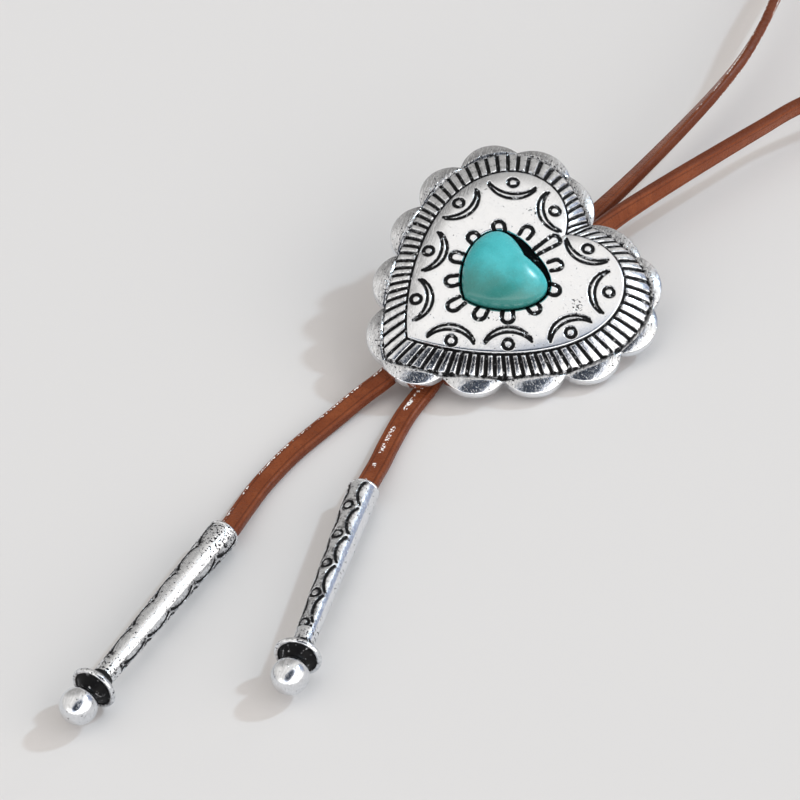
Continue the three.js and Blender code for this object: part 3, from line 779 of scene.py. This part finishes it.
def raised_heart():
    """Rings from the hidden underside, up the edge, over the stamped face and down the wall of
    the stone's pocket. The face rises from its edge by a parabola of the share of the way in,
    rounded off by smooth steps at both edges and rubbed lower toward the outer one, most of all
    on the left."""
    r = RAISED
    share = np.linspace(0, 1, r["columns"] // 2 + 1)
    edge, pocket = heart("plateau", share), heart("pocket", share)
    inward = np.linspace(0, 1, r["rows"])[:, None]
    face = edge + (pocket - edge) * inward[..., None]
    across = np.hypot(*(pocket - edge).T)
    from_edge, from_pocket = inward * across, (1 - inward) * across
    z = r["pocket"] - (r["pocket"] - r["edge"]) * (1 - inward) ** 2
    z = z - r["edge_round"] * (1 - ramp(from_edge, -0.4, 0.5)) ** 2
    z = z - r["lip_round"] * (1 - ramp(from_pocket, -0.1, 0.3))
    marks = stamped(face[..., 0], face[..., 1])
    z = z - STAMP_DEPTH * ramp(marks, -0.08, 0.16)
    top = np.concatenate([face, z[..., None]], axis=-1)
    side = [level(edge * 0.5, r["under"]), level(edge, r["under"]),
            level(edge, (r["under"] + r["edge"]) / 2)]
    well = [level(pocket, r["under_lip"]), level(pocket, r["floor"]),
            level(pocket * 0.5, r["floor"])]
    columns = len(share)

    def layer(values, on_side, in_well):
        """A number over the face, with plain ones for the rings before and after it."""
        ends = np.full((len(side), columns), on_side), np.full((len(well), columns), in_well)
        return mirrored(np.vstack([ends[0], values, ends[1]]))

    whole = mirrored(np.concatenate(side + [top] + well))
    on_left = ramp(-whole[..., 0], -3.0, 9.0)
    near_edge = layer((1 - ramp(from_edge, -1.0, 4.5)) ** 2, 0.0, 0.0)
    all_round, more_on_left = r["rubbed_down"]
    whole[..., 2] -= (all_round + more_on_left * on_left) * near_edge
    # Painted shade: a little grey round the face's outer edge, much more on the left, most of all
    # toward the tip.
    low_down = 1 - 0.75 * ramp(whole[..., 1], 6.0, 17.0)
    brushed = 0.08 + 0.5 * on_left * low_down
    brushed = brushed * layer(1 - ramp(from_edge, 0.0, 3.2), 0.0, 0.0)
    spots = [np.exp(-(((whole[..., :2] - spot) / 1.2) ** 2).sum(axis=-1)) for spot in PITTED]
    piece = skin("raised_heart", leaned(whole) + FOOT, HEART_SILVER,
                 recess=layer(marks, 0.4, 0.1), pitting=0.38 + 1.15 * sum(spots), brushed=brushed)
    return piece


# Grooves of the band, as shares of the raised heart's half outline: close ones at the notch,
# then runs of even ones, each cut by hand a little off its place.
GROOVES = np.concatenate([
    [0.0], np.linspace(0.022, 0.123, 5), np.linspace(0.123, 0.565, 17)[1:],
    np.linspace(0.565, 0.881, 15)[1:], np.linspace(0.881, 1.0, 5)[1:],
])
HAND = np.random.default_rng(11)
GROOVES[2:-1] += HAND.uniform(-0.0011, 0.0011, len(GROOVES) - 3)
GROOVE_ENDS = HAND.uniform(0.1, 0.35, len(GROOVES))  # how far each stops short, in millimetres
# Where the points lie across a bar, along it and out over a petal, as shares of the way. They
# crowd together beside the grooves and at the edges.
ACROSS_BAR = np.array([0, 0.06, 0.1, 0.13, 0.155, 0.18, 0.22, 0.3, 0.4, 0.5, 0.6, 0.7, 0.78,
                       0.82, 0.845, 0.87, 0.9, 0.94])
ALONG_BAR = np.array([0, 0.04, 0.06, 0.075, 0.09, 0.115, 0.16, 0.25, 0.4, 0.55, 0.7, 0.78, 0.84,
                      0.88, 0.91, 0.94, 0.97, 1.0])
PETAL_ROWS = np.array([0.02, 0.05, 0.09, 0.14, 0.2, 0.28, 0.37, 0.46, 0.55, 0.64, 0.73, 0.82,
                       0.9, 0.95, 1.0])
BAND = {"inner": 8.15, "fall": 1.75, "turn_down": 0.4, "crown": 0.07, "groove_wide": 0.62,
        "groove": 0.45, "moat": 0.42, "plate": 7.1}
PETAL = {"rim": 5.25, "under": 3.6, "swell": 1.3, "crease": 0.35, "round": 0.2}
# The hollow's mouth is set in under the bars by that share of their length, and its ceiling is
# the raised heart's outline made smaller by the scale.
HOLLOW = {"set_in": 0.26, "ceiling": 6.4, "scale": 0.9}


def scallops(share):
    """Edge points at shares of the half outline: each scallop is a circular arc on the chord
    between two valleys. Also gives each circle's middle and radius, for the petal's swelling."""
    count = len(SCALLOP_RISES)
    valleys = heart("valleys", np.linspace(0, 1, count + 1))
    index = np.minimum((share * count).astype(int), count - 1)
    along = share * count - index
    start, chord = valleys[index], valleys[index + 1] - valleys[index]
    span = np.hypot(*chord.T)
    out = np.stack([-chord[:, 1], chord[:, 0]], axis=-1) / span[:, None]
    rise = SCALLOP_RISES[index]
    radius = (span**2 / 4 + rise**2) / (2 * rise)
    run = (along - 0.5) * span
    lift = np.sqrt(radius**2 - run**2) - (radius - rise)
    edge = start + chord * along[:, None] + out * lift[:, None]
    middle = start + chord / 2 - out * (radius - rise)[:, None]
    return edge, middle, radius


def groove_slant(share):
    """How far toward the notch a groove's outer end lies, as a share of the half outline. It
    grows by smooth steps at the notch and up the lobe, falls again over the lobe's top, fades
    out toward the tip and turns slightly the other way just before it."""
    slant = 0.012 * ramp(share, 0.0, 0.022) + 0.013 * ramp(share, 0.06, 0.15)
    slant = slant - 0.013 * ramp(share, 0.17, 0.26)
    slant = slant * (1 - ramp(share, 0.82, 0.93))
    return slant - 0.004 * ramp(share, 0.92, 0.96) * (1 - ramp(share, 0.96, 1.0))


def heart_rim():
    """Rings from a hidden plate under the raised heart, out along the bars and petals, down the
    edge and back under it into the hollow back. A bar is rounded across by a half sine and
    falls outward, steeper toward its end; grooves and the moat along the raised heart are sunk
    by smooth steps. A petal is a dome about its scallop's own circle, falling with the cube of
    the distance from its middle, with a crease along the band. The black in that crease is
    broken up by two sines of the distance round."""
    pitch = np.diff(GROOVES)
    inner_share = np.append((GROOVES[:-1, None] + pitch[:, None] * ACROSS_BAR).ravel(), 1.0)
    outer_share = inner_share - groove_slant(inner_share)
    inner, outer = heart("plateau", inner_share), heart("band", outer_share)
    length = np.hypot(*(outer - inner).T)
    groove_share = np.append(np.tile(ACROSS_BAR, len(pitch)), 0.0)
    whole = np.append(np.repeat(pitch, len(ACROSS_BAR)), pitch[-1])
    whole = whole * np.hypot(*np.diff(heart("plateau", np.linspace(0, 1, 200)), axis=0).T).sum()
    nearer = np.append(np.repeat(np.arange(len(pitch)), len(ACROSS_BAR)), len(pitch))
    nearer = nearer + (groove_share > 0.5)
    way = ALONG_BAR[:, None]
    off_groove = np.minimum(groove_share, 1 - groove_share) * whole * (1 + 0.25 * way)
    off_end = np.maximum(GROOVE_ENDS[nearer] - (1 - way) * length, 0)
    in_groove = BAND["groove_wide"] / 2 - np.hypot(off_groove, off_end)
    in_moat = BAND["moat"] - way * length
    run = np.append(0, np.cumsum(np.hypot(*np.diff(outer, axis=0).T)))
    broken = 0.05 * np.sin(2.1 * run) + 0.05 * np.sin(4.7 * run + 1)
    bar_crease = 0.04 + broken - 0.6 * (1 - way) * length
    marks = np.maximum(in_groove, in_moat)
    bar = inner + (outer - inner) * way[..., None]
    crown = BAND["crown"] * np.sin(np.pi * groove_share)
    z = BAND["inner"] - BAND["fall"] * way - BAND["turn_down"] * way**4 + crown
    z = z - BAND["groove"] * ramp(marks, -0.1, 0.08)
    bars = np.concatenate([bar, z[..., None]], axis=-1)

    edge, middle, radius = scallops(outer_share)
    t = PETAL_ROWS[:, None]
    flat = outer + (edge - outer) * t[..., None]
    reach = np.hypot(*np.moveaxis(flat - middle, -1, 0)) / radius
    z = PETAL["rim"] + PETAL["swell"] * (1 - np.minimum(reach, 1.0) ** 3)
    out_to_edge = np.hypot(*(edge - outer).T)
    from_band, lip = t * out_to_edge, (1 - t) * out_to_edge
    z = z - PETAL["crease"] * np.exp(-((from_band / 0.4) ** 2))
    z = z - PETAL["round"] * (1 - ramp(lip, -PETAL["round"], PETAL["round"])) ** 2 * 2
    petals = np.concatenate([flat, z[..., None]], axis=-1)
    petal_crease = 0.04 + broken - 0.3 * from_band

    back_edge = outer + (inner - outer) * HOLLOW["set_in"]
    toward = back_edge - edge
    toward = toward / np.maximum(np.hypot(*toward.T), 1e-6)[:, None]
    low = PETAL["under"]
    ceiling = inner * HOLLOW["scale"]
    down = [
        level(edge, low + 0.9), level(edge, low + 0.5), level(edge, low + 0.2),
        level(edge + toward * 0.08, low + 0.08), level(edge + toward * 0.25, low),
        level(back_edge - toward * 0.2, low), level(back_edge, low + 0.1),
        level(back_edge + (ceiling - back_edge) * 0.25, low + 1.1),
        level(back_edge + (ceiling - back_edge) * 0.6, low + 2.3),
        level(ceiling, HOLLOW["ceiling"]), level(ceiling * 0.6, HOLLOW["ceiling"] + 0.05),
        level(ceiling * 0.3, HOLLOW["ceiling"] + 0.05),
    ]
    plate = [level(inner * 0.6, BAND["plate"]), level(inner * 0.97, BAND["plate"])]
    columns = len(outer_share)

    def layer(of_bars, of_petals):
        """A number over the bars and petals, with plain ones for the plate and the back."""
        ends = np.full((len(plate), columns), 0.4), np.full((len(down), columns), -1.0)
        return mirrored(np.vstack([ends[0], of_bars, of_petals, ends[1]]))

    whole = mirrored(np.concatenate(plate + [bars, petals] + down))
    crease = layer(bar_crease, petal_crease) - 0.1 * ramp(-whole[..., 0], -4.0, 8.0)
    recess = np.maximum(layer(marks, np.full_like(petal_crease, -1.0)), crease)
    pitting = layer(np.full_like(marks, 0.5), 0.5 + 1.45 * np.exp(-from_band / 1.3))
    # Painted shade: the middles of the bars greyed, most on the near side, and the petals greyed
    # next to the band and in the valleys between them, less on the near side.
    shade = ramp(way, 0.05, 0.3) * (1 - ramp(way, 0.6, 0.9)) * np.ones(columns)
    near = ramp(whole[..., 0], -3.0, 6.0) * (1 - ramp(whole[..., 1], -4.0, 9.0))
    part = outer_share * len(SCALLOP_RISES) % 1
    valley = np.exp(-((np.minimum(part, 1 - part) / 0.1) ** 2)) * (1 - 0.6 * t)
    grey = np.maximum(np.exp(-from_band / 2.2), 0.8 * valley)
    brushed = layer(np.zeros_like(marks), grey) * (1 - 0.35 * near)
    brushed = brushed + (0.08 + 0.92 * near) * layer(shade, np.zeros_like(petal_crease))
    piece = skin("heart_rim", leaned(whole) + FOOT, RIM_SILVER, recess=recess, pitting=pitting,
                 brushed=brushed)
    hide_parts("concho")
    return piece


raised_heart()
heart_rim()

# ---- The stone -----------------------------------------------------------------------------
# A heart-shaped cabochon of pale turquoise, ground to a dome over an upright girdle and
# polished. It is glued into the heart's pocket and stands well out of it.

STONE = {"bottom": 7.9, "girdle": 9.0, "crown": 12.2, "columns": 240, "rings": 60,
         "middle": 0.6, "oval": (7.4, 6.6), "fullness": 0.8}


def turquoise():
    """Polished turquoise: blue-green with faint clouds, darker and greener toward the tip and
    the right as painted shade broken by mottling, a few dark specks, and a clear gloss.
    """
    material, tree = new_material("turquoise")
    place = in_millimetres(tree)
    cloud = step(tree, noise(tree, place, 0.16, 4.0, 0.6), 0.35, 0.65)
    colour = mix(tree, cloud, (0.042, 0.41, 0.435, 1), (0.065, 0.505, 0.54, 1))
    # Painted shade: darker and greener toward the tip and the right, broken up by mottling.
    toward_tip = node(tree, "Attribute", attribute_name="toward_tip").outputs["Fac"]
    mottle_and_shade = calc(tree, "MULTIPLY", noise(tree, place, 0.5, 5.0, 0.65), 0.5)
    mottle_and_shade = calc(tree, "ADD", toward_tip, mottle_and_shade)
    colour = mix(tree, step(tree, mottle_and_shade, 0.55, 1.15, 0.0, 0.9), colour, (0.042, 0.21, 0.185, 1))
    specks = step(tree, noise(tree, place, 2.4, 2.0), 0.74, 0.79, 0.0, 0.7)
    colour = mix(tree, specks, colour, (0.02, 0.13, 0.13, 1))
    height = calc(tree, "MULTIPLY", noise(tree, place, 0.5, 2.0), 0.03)
    bump = node(tree, "Bump", {"Height": height, "Distance": MM, "Strength": 0.6})
    roughness = step(tree, noise(tree, place, 1.2, 3.0), 0.3, 0.7, 0.2, 0.3)
    shader = node(tree, "BsdfPrincipled", {
        "Base Color": colour, "Roughness": roughness, "Normal": bump.outputs[0], "IOR": 1.45,
        "Coat Weight": 0.1, "Coat Roughness": 0.12,
    })
    node(tree, "OutputMaterial", {"Surface": shader.outputs[0]})
    return material


def stone():
    """Rings up the girdle and over the dome. A dome ring is the outline drawn in by a power of
    the cosine of the angle climbed, and stands as high as the sine. As it climbs, the outline
    goes over to an ellipse, so that the notch is only a shallow dent at the side."""
    s = STONE
    share = np.linspace(0, 1, s["columns"] // 2 + 1)
    outline = heart("stone", share)
    angle = np.linspace(0, np.pi / 2, s["rings"])[:-1]
    drawn = (np.cos(angle) ** s["fullness"])[:, None, None]
    heights = s["girdle"] + (s["crown"] - s["girdle"]) * np.sin(angle)[:, None, None]
    turn = np.arctan2(outline[:, 0], outline[:, 1] - s["middle"])
    oval = np.stack([np.sin(turn) * s["oval"][0], s["middle"] + np.cos(turn) * s["oval"][1]], -1)
    over = ramp(angle, 0.0, 1.2)[:, None, None]
    middle = np.array([0, s["middle"]])
    spread = middle + (outline + (oval - outline) * over - middle) * drawn
    dome = np.concatenate([spread, np.broadcast_to(heights, spread[..., :1].shape)], axis=-1)
    base = [level(outline * 0.5, s["bottom"]), level(outline, s["bottom"])]
    whole = mirrored(np.concatenate(base + [dome]))
    # How far toward the tip and the right, for the turquoise's painted shade.
    toward_tip = 0.5 - (whole[..., 1] - 0.8 * whole[..., 0]) / 14
    piece = skin("turquoise_heart", leaned(whole) + FOOT, turquoise(), toward_tip=toward_tip)
    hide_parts("turquoise")
    return piece


stone()
